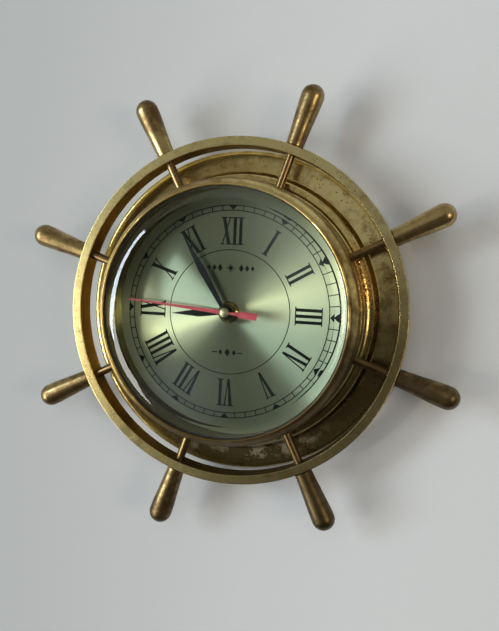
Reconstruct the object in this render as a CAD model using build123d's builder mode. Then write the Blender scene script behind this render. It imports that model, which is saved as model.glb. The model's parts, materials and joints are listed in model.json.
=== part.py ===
from build123d import *
import math
import os

# Ship's-wheel wall clock, in millimetres.
# +Z is up, the clock faces -Y and hangs with the back of its flange on the plane Y = 0.
# "Depth" is the distance from the wall towards the viewer, so depth d lies at Y = -d.
# Clock angles are in degrees, clockwise from 12 o'clock as the viewer sees them.

# --- driving dimensions -------------------------------------------------------------
SHEET = 1.5  # brass sheet of the case
RUNNING = 0.05  # radial clearance of a turning shaft
SEAT = 0.02  # radial clearance of a pressed or screwed seat

# case: wall flange, plinth step and drum
FLANGE_RADIUS = 95.5
FLANGE_DEPTH = 6.5
PLINTH_FOOT_RADIUS = 82.5
PLINTH_TOP_RADIUS = 80.3
PLINTH_DEPTH = 13.7
DRUM_RADIUS = 74.0
DRUM_DEPTH = 39.0
LEDGE_RADIUS = 64.0

# dial, glass and bezel
DIAL_DEPTH = 30.2  # printed face of the dial
DIAL_THICKNESS = 1.0
GLASS_BACK = 44.0
GLASS_FRONT = 48.9
GLASS_RADIUS = 70.8
BEVEL_START = 62.5  # radius of the flat part of the glass
BEVEL_END = 68.75
LAND_DEPTH = 45.9  # front of the glass's edge, where the gasket grips it
GASKET_RADIUS = 71.4
GASKET_WALL = 0.4  # between the glass's edge and the bezel's lip
BEZEL_RADIUS = 75.0
BEZEL_FRONT = 49.4
LIP_RADIUS = 69.36

# wheel: rim, spokes and handles
SPOKE_COUNT = 8
FIRST_SPOKE = 18.17  # clock angle of the first spoke
SPOKE_DEPTH = 21.5  # depth of the spoke axes
SPOKE_RADIUS = 2.5
STUD_RADIUS = 2.0
RIM_INNER = 94.6
RIM_OUTER = 100.0
RIM_BACK = 14.0
RIM_FRONT = 27.0
HANDLE_TIP = 135.6  # distance of a handle's end from the clock's centre
HANDLE_BASE_RADIUS = 5.1
HANDLE_TIP_RADIUS = 6.6

# hands, as the clock stands at rest
MINUTE_ANGLE = 327.8
HOUR_ANGLE = 266.4
SECONDS_ANGLE = 274.9
MINUTE_LENGTH = 51.5
HOUR_LENGTH = 32.8
SECONDS_LENGTH = 57.5
SECONDS_TAIL = 18.7
HAND_THICKNESS = 0.4
HOUR_HAND_DEPTH = 35.2
MINUTE_HAND_DEPTH = 37.2
SECONDS_HAND_DEPTH = 39.2

# concentric shafts on the clock's axis
BUSH_RADIUS = 4.0
BUSH_END = 34.0
HOUR_PIPE_RADIUS = 2.6
MINUTE_PIPE_RADIUS = 1.8
SECONDS_SHAFT_RADIUS = 0.6
PIVOT_RADIUS = 0.4

# quartz movement
CASE_SIZE = 56.0
CASE_WALL = 1.2
CASE_BACK = 12.2
CASE_FRONT = 28.2
BAY_TOP = -11.8  # upper wall of the battery bay, under the gear room
BATTERY_RADIUS = 7.25
BATTERY_LENGTH = 49.2
BATTERY_HEIGHT = -19.3
BATTERY_DEPTH = 19.6

# gear train: teeth of each wheel and pinion
PRESSURE_ANGLE = math.radians(20)
PINION_SHIFT = 0.4  # profile shift in modules, plus on pinions and minus on wheels
PINION_TEETH = 10
CANNON_TEETH = 12
KNOB_TEETH = 12
INTERMEDIATE_TEETH = 60
SECONDS_TEETH = 50
THIRD_TEETH = 75
CENTRE_TEETH = 80
MINUTE_WHEEL_TEETH = 36
HOUR_WHEEL_TEETH = 40

# arbors: distance between the axes of each meshing pair, and its clock angle
ROTOR_DISTANCE = 8.4
ROTOR_BEARING = 355.0
INTERMEDIATE_DISTANCE = 9.6
INTERMEDIATE_BEARING = 330.0
THIRD_DISTANCE = 9.5
THIRD_BEARING = 50.0
MOTION_DISTANCE = 9.9
MOTION_BEARING = 260.0
KNOB_BEARING = 300.0

# depth of the back face of each wheel
SECONDS_WHEEL_DEPTH = 14.2
INTERMEDIATE_WHEEL_DEPTH = 16.0
THIRD_WHEEL_DEPTH = 17.8
CENTRE_WHEEL_DEPTH = 20.1
MINUTE_WHEEL_DEPTH = 22.2
HOUR_WHEEL_DEPTH = 24.6
WHEEL_THICKNESS = 0.8
PINION_OVERHANG = 0.4  # a pinion is this much longer than its wheel at each end


# --- placing ------------------------------------------------------------------------
def facing(depth, x=0.0, z=0.0):
    """Plane parallel to the wall at a depth, seen from the front: local x is +X, local y is +Z."""
    return Plane(origin=(x, -depth, z), x_dir=(1, 0, 0), z_dir=(0, -1, 0))


def turning(x=0.0, z=0.0):
    """Plane for a turned profile about an axis through (x, z): local x is radius, local y is depth."""
    return Plane(origin=(x, 0, z), x_dir=(1, 0, 0), z_dir=(0, 0, -1))


def arbor(x=0.0, z=0.0):
    return Axis((x, 0, z), (0, 1, 0))


def clock_point(radius, angle, centre=(0.0, 0.0)):
    turn = math.radians(angle)
    return (centre[0] + radius * math.sin(turn), centre[1] + radius * math.cos(turn))


def spoke_plane(index):
    """Plane on the clock's axis whose normal is the axis of one spoke."""
    x, z = clock_point(1, FIRST_SPOKE + index * 360 / SPOKE_COUNT)
    return Plane(origin=(0, -SPOKE_DEPTH, 0), x_dir=(0, 1, 0), z_dir=(x, 0, z))


def finish(builder, label):
    builder.part.label = label
    export_step(builder.part, f"parts/{label}.step")


# --- gears --------------------------------------------------------------------------
def module_of(distance, teeth, mate_teeth):
    return 2 * distance / (teeth + mate_teeth)


def tooth_half_angle(radius, teeth, module, shift):
    """Half of the angle that a tooth fills at a radius, in radians: involute above the base circle."""
    backlash = 0.12
    pitch = module * teeth / 2
    base = pitch * math.cos(PRESSURE_ANGLE)
    half = (math.pi / 2 + 2 * shift * math.tan(PRESSURE_ANGLE) - backlash) / teeth
    half += math.tan(PRESSURE_ANGLE) - PRESSURE_ANGLE
    if radius > base:
        pressure = math.acos(base / radius)
        half -= math.tan(pressure) - pressure
    return half


def gear_outline(teeth, module, phase, pinion):
    """Closed outline of a gear with one tooth centred at the angle phase, from local x in radians."""
    shift = PINION_SHIFT if pinion else -PINION_SHIFT
    addendum, dedendum = (0.75, 0.9) if pinion else (0.6, 1.0)
    pitch = module * teeth / 2
    tip = pitch + addendum * module
    root = pitch - dedendum * module
    base = pitch * math.cos(PRESSURE_ANGLE)
    start = max(root, base)
    radii = [start + (tip - start) * step / 3 for step in range(4)]

    def at(radius, angle):
        return (radius * math.cos(angle), radius * math.sin(angle))

    for tooth in range(teeth):
        middle = phase + 2 * math.pi * tooth / teeth
        following = phase + 2 * math.pi * (tooth + 1) / teeth
        half = [tooth_half_angle(radius, teeth, module, shift) for radius in radii]
        rising = [at(r, middle - h) for r, h in zip(radii, half)]
        falling = [at(r, middle + h) for r, h in zip(radii, half)][::-1]
        if root < start:
            Line(at(root, middle - half[0]), rising[0])
        Spline(*rising)
        ThreePointArc(rising[-1], at(tip, middle), falling[0])
        Spline(*falling)
        if root < start:
            Line(falling[-1], at(root, middle + half[0]))
        valley = (middle + half[0] + following - half[0]) / 2
        ThreePointArc(at(root, middle + half[0]), at(root, valley), at(root, following - half[0]))


def meshed_phase(driver_phase, driver_teeth, bearing, teeth):
    """Phase that puts a gear in mesh with its driver, whose axis lies the other way along bearing."""
    direction = math.pi / 2 - math.radians(bearing)
    share = (direction - driver_phase) * driver_teeth / (2 * math.pi)
    return direction + math.pi - (0.5 - share) * 2 * math.pi / teeth


def add_gear(depth, length, centre, teeth, module, phase, pinion=False):
    """Adds a gear's solid to the part being built."""
    with BuildSketch(facing(depth, *centre)) as section:
        with BuildLine():
            gear_outline(teeth, module, phase, pinion)
        make_face()
    extrude(section.sketch, amount=length)


def add_pin(start, end, radius, centre=(0.0, 0.0), mode=Mode.ADD):
    """Adds a round bar, or cuts a round hole, along the depth from start to end."""
    with BuildSketch(facing(start, *centre)) as section:
        Circle(radius)
    extrude(section.sketch, amount=end - start, mode=mode)


# --- case ---------------------------------------------------------------------------
def make_case_body():
    """Spun brass: flange with a turned-back edge, plinth, flared drum and the ledge for the dial."""
    edge = 2.5
    neck_depth = PLINTH_DEPTH + 5.0
    lip = 0.8
    dial_back = DIAL_DEPTH - DIAL_THICKNESS
    with BuildPart() as case_body:
        with BuildSketch(turning()):
            with BuildLine():
                Line((FLANGE_RADIUS, 0), (FLANGE_RADIUS, FLANGE_DEPTH - edge))
                RadiusArc((FLANGE_RADIUS, FLANGE_DEPTH - edge), (FLANGE_RADIUS - edge, FLANGE_DEPTH), -edge)
                Polyline(
                    (FLANGE_RADIUS - edge, FLANGE_DEPTH),
                    (PLINTH_FOOT_RADIUS + lip, FLANGE_DEPTH),
                    (PLINTH_FOOT_RADIUS, FLANGE_DEPTH + lip),
                    (PLINTH_TOP_RADIUS, PLINTH_DEPTH - lip),
                    (PLINTH_TOP_RADIUS - lip, PLINTH_DEPTH),
                )
                TangentArc(
                    (DRUM_RADIUS, neck_depth), (PLINTH_TOP_RADIUS - lip, PLINTH_DEPTH), tangent=(0, -1)
                )
                inner = DRUM_RADIUS - SHEET
                Polyline(
                    (DRUM_RADIUS, neck_depth),
                    (DRUM_RADIUS, DRUM_DEPTH),
                    (inner, DRUM_DEPTH),
                    (inner, dial_back),
                    (LEDGE_RADIUS, dial_back),
                    (LEDGE_RADIUS, dial_back - SHEET),
                    (inner, dial_back - SHEET),
                    (inner, neck_depth),
                )
                under = (PLINTH_TOP_RADIUS - lip - SHEET / 2, PLINTH_DEPTH - SHEET)
                TangentArc((inner, neck_depth), under, tangent=(0, -1))
                Polyline(
                    under,
                    (PLINTH_TOP_RADIUS - SHEET, PLINTH_DEPTH - SHEET - lip),
                    (PLINTH_FOOT_RADIUS - SHEET, FLANGE_DEPTH - SHEET + lip),
                    (PLINTH_FOOT_RADIUS - SHEET + lip, FLANGE_DEPTH - SHEET),
                    (FLANGE_RADIUS - edge, FLANGE_DEPTH - SHEET),
                )
                RadiusArc(
                    (FLANGE_RADIUS - edge, FLANGE_DEPTH - SHEET),
                    (FLANGE_RADIUS - SHEET, FLANGE_DEPTH - edge),
                    edge - SHEET,
                )
                Polyline(
                    (FLANGE_RADIUS - SHEET, FLANGE_DEPTH - edge),
                    (FLANGE_RADIUS - SHEET, 0),
                    (FLANGE_RADIUS, 0),
                )
            make_face()
        revolve(axis=arbor())
        for index in range(SPOKE_COUNT):
            with BuildSketch(spoke_plane(index).offset(DRUM_RADIUS - 3 * SHEET)):
                Circle(STUD_RADIUS + 0.1)
            extrude(amount=5 * SHEET, mode=Mode.SUBTRACT)
    finish(case_body, "case_body")


def make_bezel():
    """Rolled ring over the front of the drum: skirt, rounded shoulder, groove and the lip on the glass."""
    skirt_start = 30.4
    roll_start = 39.6
    groove_depth = 47.4
    groove_radius = 71.5
    lip_underside = LAND_DEPTH + GASKET_WALL
    bore = DRUM_RADIUS + SEAT
    chamber = GASKET_RADIUS + 0.1
    with BuildPart() as bezel:
        with BuildSketch(turning()):
            with BuildLine():
                Line((BEZEL_RADIUS, skirt_start), (BEZEL_RADIUS, roll_start))
                TangentArc((BEZEL_RADIUS, roll_start), (groove_radius, groove_depth), tangent=(0, 1))
                outer_lip = LIP_RADIUS + 1.7
                bead = (outer_lip - LIP_RADIUS) / 2
                Polyline(
                    (groove_radius, groove_depth),
                    (outer_lip, groove_depth),
                    (outer_lip, BEZEL_FRONT - bead),
                )
                ThreePointArc(
                    (outer_lip, BEZEL_FRONT - bead),
                    (LIP_RADIUS + bead, BEZEL_FRONT),
                    (LIP_RADIUS, BEZEL_FRONT - bead),
                )
                Polyline(
                    (LIP_RADIUS, BEZEL_FRONT - bead),
                    (LIP_RADIUS, lip_underside),
                    (chamber, lip_underside),
                    (chamber, DRUM_DEPTH + SEAT),
                    (bore, DRUM_DEPTH + SEAT),
                    (bore, skirt_start),
                    (BEZEL_RADIUS, skirt_start),
                )
            make_face()
        revolve(axis=arbor())
    finish(bezel, "bezel")


def make_glass():
    """Thick glass: flat in the middle, a rounded bevel round it and a step for the gasket."""
    bevel_angle = math.radians(11)  # where the bevel leaves the flat part
    bevel_drop = 2.36
    with BuildPart() as glass:
        with BuildSketch(turning()):
            with BuildLine():
                Polyline(
                    (BEVEL_START, GLASS_FRONT),
                    (0, GLASS_FRONT),
                    (0, GLASS_BACK),
                    (GLASS_RADIUS, GLASS_BACK),
                    (GLASS_RADIUS, LAND_DEPTH),
                    (BEVEL_END, LAND_DEPTH),
                    (BEVEL_END, GLASS_FRONT - bevel_drop),
                )
                TangentArc(
                    (BEVEL_START, GLASS_FRONT),
                    (BEVEL_END, GLASS_FRONT - bevel_drop),
                    tangent=(math.cos(bevel_angle), -math.sin(bevel_angle)),
                )
            make_face()
        revolve(axis=arbor())
    finish(glass, "glass")


def make_glass_gasket():
    """Rubber channel round the glass's edge; its bead fills the gap between the glass and the lip."""
    leg = 0.8
    leg_radius = 69.0
    bead_inner = BEVEL_END + SEAT
    bead_outer = LIP_RADIUS - SEAT
    bead_radius = (bead_outer - bead_inner) / 2
    bead_depth = 48.0 - bead_radius
    with BuildPart() as glass_gasket:
        with BuildSketch(turning()):
            with BuildLine():
                Polyline(
                    (bead_inner, bead_depth),
                    (bead_inner, LAND_DEPTH),
                    (GLASS_RADIUS + SEAT, LAND_DEPTH),
                    (GLASS_RADIUS + SEAT, GLASS_BACK),
                    (leg_radius, GLASS_BACK),
                    (leg_radius, GLASS_BACK - leg),
                    (GASKET_RADIUS, GLASS_BACK - leg),
                    (GASKET_RADIUS, LAND_DEPTH + GASKET_WALL),
                    (bead_outer, LAND_DEPTH + GASKET_WALL),
                    (bead_outer, bead_depth),
                )
                ThreePointArc(
                    (bead_outer, bead_depth),
                    (bead_inner + bead_radius, bead_depth + bead_radius),
                    (bead_inner, bead_depth),
                )
            make_face()
        revolve(axis=arbor())
    finish(glass_gasket, "glass_gasket")


def make_inner_ring():
    """Conical sleeve from the dial's edge up to the gasket, with a flange at its top."""
    foot = 65.7
    top = 68.9
    wall = 0.9
    flange_top = GLASS_BACK - 0.8
    with BuildPart() as inner_ring:
        with BuildSketch(turning()):
            with BuildLine():
                Polyline(
                    (foot, DIAL_DEPTH),
                    (top, flange_top),
                    (GASKET_RADIUS, flange_top),
                    (GASKET_RADIUS, flange_top - wall),
                    (top + wall - 0.2, flange_top - wall),
                    (foot + wall, DIAL_DEPTH),
                    close=True,
                )
            make_face()
        revolve(axis=arbor())
    finish(inner_ring, "inner_ring")


def make_dial_plate():
    with BuildPart() as dial_plate:
        with BuildSketch(facing(DIAL_DEPTH - DIAL_THICKNESS)):
            Circle(DRUM_RADIUS - SHEET - 0.2)
            Circle(BUSH_RADIUS + 0.1, mode=Mode.SUBTRACT)
        extrude(amount=DIAL_THICKNESS)
    finish(dial_plate, "dial_plate")


def make_hanger_plate():
    """Keyhole plate on two feet, soldered inside the flange at the top: the wall screw's head goes in."""
    plate = 1.2
    back = 0.8
    tongue_width = 20.0
    tongue_bottom = 68.0
    tongue_top = 90.5
    head_radius = 4.25
    neck_radius = 2.1
    head_height = 75.0
    neck_height = 84.0
    foot_width = 5.0
    foot_height = 7.0
    foot_reach = 20.0
    foot_middle = 87.0
    with BuildPart() as hanger_plate:
        with BuildSketch(facing(back)):
            with Locations((0, (tongue_bottom + tongue_top) / 2)):
                Rectangle(tongue_width, tongue_top - tongue_bottom)
            with Locations((0, foot_middle)):
                Rectangle(2 * foot_reach, foot_height)
            with Locations((0, head_height)):
                Circle(head_radius, mode=Mode.SUBTRACT)
            with Locations((0, (head_height + neck_height) / 2)):
                Rectangle(2 * neck_radius, neck_height - head_height, mode=Mode.SUBTRACT)
            with Locations((0, neck_height)):
                Circle(neck_radius, mode=Mode.SUBTRACT)
        extrude(amount=plate)
        with BuildSketch(facing(back + plate)):
            for side in (-1, 1):
                with Locations((side * (foot_reach - foot_width / 2), foot_middle)):
                    Rectangle(foot_width, foot_height)
        extrude(amount=FLANGE_DEPTH - SHEET - back - plate)
    finish(hanger_plate, "hanger_plate")


# --- wheel --------------------------------------------------------------------------
def make_wheel_rim():
    with BuildPart() as wheel_rim:
        with BuildSketch(facing(RIM_BACK)):
            Circle(RIM_OUTER)
            Circle(RIM_INNER, mode=Mode.SUBTRACT)
        extrude(amount=RIM_FRONT - RIM_BACK)
        fillet(wheel_rim.edges().filter_by(GeomType.CIRCLE), 0.5)
        for index in range(SPOKE_COUNT):
            with BuildSketch(spoke_plane(index).offset(RIM_INNER - 2)):
                Circle(STUD_RADIUS + SEAT)
            extrude(amount=RIM_OUTER - RIM_INNER + 4, mode=Mode.SUBTRACT)
    finish(wheel_rim, "wheel_rim")


def make_spoke(index):
    """Rod with a thinner stud at each end: the inner one holds a nut, the outer one a handle."""
    plane = spoke_plane(index)
    shoulder_in = DRUM_RADIUS + SEAT
    shoulder_out = RIM_INNER - 0.06
    stud_in = 68.6
    stud_out = 110.0
    with BuildPart() as spoke:
        with BuildSketch(plane.offset(stud_in)):
            Circle(STUD_RADIUS)
        extrude(amount=stud_out - stud_in)
        with BuildSketch(plane.offset(shoulder_in)):
            Circle(SPOKE_RADIUS)
        extrude(amount=shoulder_out - shoulder_in)
        stud_ends = spoke.edges().filter_by(GeomType.CIRCLE).filter_by(
            lambda edge: abs(edge.radius - STUD_RADIUS) < 0.01 and edge.center().length > 1
        )
        tips = stud_ends.sort_by(lambda edge: Vector(edge.center().X, 0, edge.center().Z).length)
        chamfer([tips[0], tips[-1]], 0.4)
    finish(spoke, f"spoke_{index + 1}")


def make_handle(index):
    """Turned handle: narrow at the rim, swelling to a round end, with a blind hole for the stud."""
    plane = spoke_plane(index)
    base = RIM_OUTER + SEAT
    length = HANDLE_TIP - base
    belly = length - HANDLE_TIP_RADIUS
    round_base = 0.5
    profile = Plane(origin=plane.origin + plane.z_dir * base, x_dir=plane.x_dir, z_dir=plane.y_dir)
    with BuildPart() as handle:
        with BuildSketch(profile):
            with BuildLine():
                Polyline((0, -length), (0, 0), (HANDLE_BASE_RADIUS - round_base, 0))
                Line((HANDLE_BASE_RADIUS - round_base, 0), (HANDLE_BASE_RADIUS, -round_base))
                Spline(
                    (HANDLE_BASE_RADIUS, -round_base),
                    (HANDLE_BASE_RADIUS + 0.75, -belly * 0.5),
                    (HANDLE_TIP_RADIUS, -belly),
                    tangents=[(0.03, -1), (0, -1)],
                )
                ThreePointArc(
                    (HANDLE_TIP_RADIUS, -belly),
                    (
                        HANDLE_TIP_RADIUS * math.cos(math.pi / 4),
                        -belly - HANDLE_TIP_RADIUS * math.sin(math.pi / 4),
                    ),
                    (0, -length),
                )
            make_face()
        revolve(axis=Axis(plane.origin, plane.z_dir))
        with BuildSketch(plane.offset(base)):
            Circle(STUD_RADIUS + SEAT)
        extrude(amount=11, mode=Mode.SUBTRACT)
    finish(handle, f"handle_{index + 1}")


def make_spoke_nuts():
    """Hexagon nuts that draw the spokes' inner studs against the drum."""
    seat = DRUM_RADIUS - SHEET - 0.15
    thickness = 3.0
    across_flats = 7.0
    with BuildPart() as spoke_nuts:
        for index in range(SPOKE_COUNT):
            with BuildSketch(spoke_plane(index).offset(seat - thickness)):
                RegularPolygon(across_flats / 2, 6, major_radius=False)
                Circle(STUD_RADIUS + SEAT, mode=Mode.SUBTRACT)
            extrude(amount=thickness)
    finish(spoke_nuts, "spoke_nuts")


# --- hands --------------------------------------------------------------------------
def hand_plane(depth, angle):
    """Plane at a depth whose local y points along the hand."""
    x, z = clock_point(1, angle + 90)
    return Plane(origin=(0, -depth, 0), x_dir=(x, 0, z), z_dir=(0, -1, 0))


def make_leaf_hand(label, depth, angle, length, pipe_radius, hub_radius, neck, widest_at, widest):
    """Leaf-shaped hand with a round hub and a collet that grips its pipe."""
    with BuildPart() as hand:
        with BuildSketch(hand_plane(depth, angle)):
            Circle(hub_radius)
            with BuildLine():
                Polyline(
                    (-neck / 2, 0),
                    (-widest / 2, length * widest_at),
                    (0, length),
                    (widest / 2, length * widest_at),
                    (neck / 2, 0),
                    close=True,
                )
            make_face()
        extrude(amount=HAND_THICKNESS)
        add_pin(depth - 0.5, depth + 0.9, pipe_radius + 0.8)
        add_pin(depth - 1, depth + 2, pipe_radius + SEAT, mode=Mode.SUBTRACT)
    finish(hand, label)


def make_seconds_hand():
    """Needle with a rectangular counterweight, on a small tube."""
    root = 1.15
    tip = 0.35
    neck = 0.75
    neck_length = 8.2
    weight = 3.6
    with BuildPart() as seconds_hand:
        with BuildSketch(hand_plane(SECONDS_HAND_DEPTH, SECONDS_ANGLE)):
            Circle(1.9)
            with BuildLine():
                Polyline(
                    (-neck, -neck_length),
                    (-weight / 2, -neck_length),
                    (-weight / 2, -SECONDS_TAIL),
                    (weight / 2, -SECONDS_TAIL),
                    (weight / 2, -neck_length),
                    (neck, -neck_length),
                    (neck, 0),
                    (root, 0),
                    (tip, SECONDS_LENGTH),
                    (-tip, SECONDS_LENGTH),
                    (-root, 0),
                    (-neck, 0),
                    close=True,
                )
            make_face()
        extrude(amount=HAND_THICKNESS)
        add_pin(SECONDS_HAND_DEPTH - 0.6, SECONDS_HAND_DEPTH, 1.2)
        add_pin(
            SECONDS_HAND_DEPTH - 1, SECONDS_HAND_DEPTH + 1, SECONDS_SHAFT_RADIUS + SEAT, mode=Mode.SUBTRACT
        )
    finish(seconds_hand, "seconds_hand")


def make_seconds_cap():
    """Domed brass cap over the hub of the seconds hand."""
    radius = 2.7
    brim = SECONDS_HAND_DEPTH + HAND_THICKNESS
    cheek = 0.5
    crown = 1.5
    with BuildPart() as seconds_cap:
        with BuildSketch(turning()):
            with BuildLine():
                Polyline((0, brim + crown), (0, brim), (radius, brim), (radius, brim + cheek))
                TangentArc((0, brim + crown), (radius, brim + cheek), tangent=(1, 0))
            make_face()
        revolve(axis=arbor())
        add_pin(brim - 0.1, brim + 0.6, SECONDS_SHAFT_RADIUS + SEAT, mode=Mode.SUBTRACT)
    finish(seconds_cap, "seconds_cap")


def make_dial_fixings():
    """Rubber washer behind the dial, brass washer and hexagon nut in front of it."""
    washer = 0.4
    nut = 2.6
    across_flats = 10.2
    crown = 4.9
    corner = 6.1
    bevel = 0.8
    nut_front = DIAL_DEPTH + washer + nut
    with BuildPart() as rubber_washer:
        with BuildSketch(facing(CASE_FRONT)):
            Circle(8.0)
            Circle(BUSH_RADIUS + 0.1, mode=Mode.SUBTRACT)
        extrude(amount=DIAL_DEPTH - DIAL_THICKNESS - CASE_FRONT)
    finish(rubber_washer, "rubber_washer")
    with BuildPart() as brass_washer:
        with BuildSketch(facing(DIAL_DEPTH)):
            Circle(6.1)
            Circle(BUSH_RADIUS + 0.1, mode=Mode.SUBTRACT)
        extrude(amount=washer)
    finish(brass_washer, "brass_washer")
    with BuildPart() as hex_nut:
        with BuildSketch(facing(DIAL_DEPTH + washer)):
            RegularPolygon(across_flats / 2, 6, major_radius=False, rotation=2)
        extrude(amount=nut)
        with BuildSketch(turning()):
            with BuildLine():
                Polyline(
                    (crown, nut_front),
                    (corner, nut_front),
                    (corner, nut_front - bevel),
                    close=True,
                )
            make_face()
        revolve(axis=arbor(), mode=Mode.SUBTRACT)
        add_pin(DIAL_DEPTH, nut_front + 1, BUSH_RADIUS + SEAT, mode=Mode.SUBTRACT)
    finish(hex_nut, "hex_nut")


# --- quartz movement ----------------------------------------------------------------
INTERMEDIATE_CENTRE = clock_point(INTERMEDIATE_DISTANCE, INTERMEDIATE_BEARING)
ROTOR_CENTRE = clock_point(ROTOR_DISTANCE, ROTOR_BEARING, INTERMEDIATE_CENTRE)
THIRD_CENTRE = clock_point(THIRD_DISTANCE, THIRD_BEARING)
MINUTE_WHEEL_CENTRE = clock_point(MOTION_DISTANCE, MOTION_BEARING)
KNOB_CENTRE = clock_point(MOTION_DISTANCE, KNOB_BEARING, MINUTE_WHEEL_CENTRE)
SIDE_ARBORS = (INTERMEDIATE_CENTRE, ROTOR_CENTRE, THIRD_CENTRE, MINUTE_WHEEL_CENTRE)
PIVOT_BACK = CASE_BACK + 0.5
PIVOT_FRONT = CASE_FRONT - 0.5


def make_movement_case():
    """Square moulding, open at the back, with the battery bay below and the bush's hole in front."""
    wall_back = CASE_BACK + CASE_WALL
    half = CASE_SIZE / 2
    inside = half - CASE_WALL
    front_inside = CASE_FRONT - CASE_WALL
    with BuildPart() as movement_case:
        with BuildSketch(facing(wall_back)):
            RectangleRounded(CASE_SIZE, CASE_SIZE, 3)
        extrude(amount=CASE_FRONT - wall_back)
        with BuildSketch(facing(wall_back)):
            with Locations((0, (inside + BAY_TOP + 0.8) / 2)):
                Rectangle(2 * inside, inside - BAY_TOP - 0.8)
            with Locations((0, (BAY_TOP - inside) / 2)):
                Rectangle(2 * inside, inside + BAY_TOP)
        extrude(amount=front_inside - wall_back, mode=Mode.SUBTRACT)
        add_pin(front_inside - 1, CASE_FRONT + 1, BUSH_RADIUS + SEAT, mode=Mode.SUBTRACT)
        for centre in SIDE_ARBORS + (KNOB_CENTRE,):
            add_pin(
                front_inside - 0.1, PIVOT_FRONT + 0.2, PIVOT_RADIUS + RUNNING, centre, mode=Mode.SUBTRACT
            )
    finish(movement_case, "movement_case")


def make_threaded_bush():
    """Brass tube pressed into the movement's front, which carries the nut and guides the hour pipe."""
    with BuildPart() as threaded_bush:
        add_pin(CASE_FRONT - CASE_WALL, BUSH_END, BUSH_RADIUS)
        add_pin(BUSH_END - 10, BUSH_END + 1, HOUR_PIPE_RADIUS + RUNNING, mode=Mode.SUBTRACT)
        outer_edge = threaded_bush.edges().filter_by(GeomType.CIRCLE).sort_by(SortBy.RADIUS)[-2:]
        chamfer(outer_edge.sort_by(Axis.Y)[0], 0.3)
    finish(threaded_bush, "threaded_bush")


def make_movement_cover():
    """Flat back of the gear room, with the bearings of the arbors and the setting shaft's hole."""
    half = CASE_SIZE / 2
    with BuildPart() as movement_cover:
        with BuildSketch(facing(CASE_BACK)):
            with Locations((0, (half + BAY_TOP) / 2)):
                Rectangle(CASE_SIZE, half - BAY_TOP)
        extrude(amount=CASE_WALL)
        top_corners = movement_cover.edges().filter_by(Axis.Y).group_by(Axis.Z)[-1]
        fillet(top_corners, 3)
        add_pin(CASE_BACK - 1, CASE_BACK + 2, 1.5 + RUNNING, KNOB_CENTRE, mode=Mode.SUBTRACT)
        for centre in SIDE_ARBORS + ((0.0, 0.0),):
            add_pin(PIVOT_BACK - 0.2, CASE_BACK + 2, PIVOT_RADIUS + RUNNING, centre, mode=Mode.SUBTRACT)
    finish(movement_cover, "movement_cover")


def make_battery():
    """AA cell lying across the bay, its small terminal at +X."""
    nub_radius = 2.7
    nub = 1.3
    bevel = 0.8
    plane = Plane(
        origin=(-(BATTERY_LENGTH + nub) / 2, -BATTERY_DEPTH, BATTERY_HEIGHT), x_dir=(0, 1, 0), z_dir=(1, 0, 0)
    )
    with BuildPart() as battery:
        with BuildSketch(plane):
            Circle(BATTERY_RADIUS)
        extrude(amount=BATTERY_LENGTH)
        chamfer(battery.edges().filter_by(GeomType.CIRCLE), bevel)
        with BuildSketch(plane.offset(BATTERY_LENGTH)):
            Circle(nub_radius)
        extrude(amount=nub)
    finish(battery, "battery")


def make_contacts():
    """Nickelled strips at the two ends of the battery."""
    strip = 0.4
    end = (BATTERY_LENGTH + 1.3) / 2 + SEAT
    for label, side in (("contact_positive", 1), ("contact_negative", -1)):
        with BuildPart() as contact:
            with BuildSketch(Plane.YZ.offset(side * end)):
                with Locations((-BATTERY_DEPTH, BATTERY_HEIGHT)):
                    Rectangle(11, 9)
                with Locations((-BATTERY_DEPTH - 4, BATTERY_HEIGHT + 5)):
                    Rectangle(3, 4)
            extrude(amount=side * strip)
        finish(contact, label)


def make_electronics():
    """Circuit board with the sealed chip and the quartz can."""
    board_depth = 23.6
    board_x = 21.6
    with BuildPart() as circuit_board:
        with BuildSketch(facing(board_depth)):
            with Locations((board_x, 3)):
                Rectangle(9.6, 24)
        extrude(amount=0.8)
    finish(circuit_board, "circuit_board")
    with BuildPart() as board_chip:
        with BuildSketch(turning(board_x, 9)):
            with BuildLine():
                Line((0, board_depth - 0.9), (0, board_depth))
                Line((0, board_depth), (3, board_depth))
                TangentArc((0, board_depth - 0.9), (3, board_depth), tangent=(1, 0))
            make_face()
        revolve(axis=arbor(board_x, 9))
    finish(board_chip, "board_chip")
    can = 1.0
    with BuildPart() as quartz_crystal:
        with BuildSketch(Plane(origin=(board_x, -board_depth + can + SEAT, -6), z_dir=(0, 0, 1))):
            Circle(can)
        extrude(amount=6)
        fillet(quartz_crystal.edges().filter_by(GeomType.CIRCLE).sort_by(Axis.Z)[0], 0.4)
    finish(quartz_crystal, "quartz_crystal")


COIL_DEPTH = 22.8
COIL_HEIGHT = 23.0
COIL_START = -1.0
COIL_END = 19.0
STATOR_DEPTH = 21.6
STATOR_THICKNESS = 0.8


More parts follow.
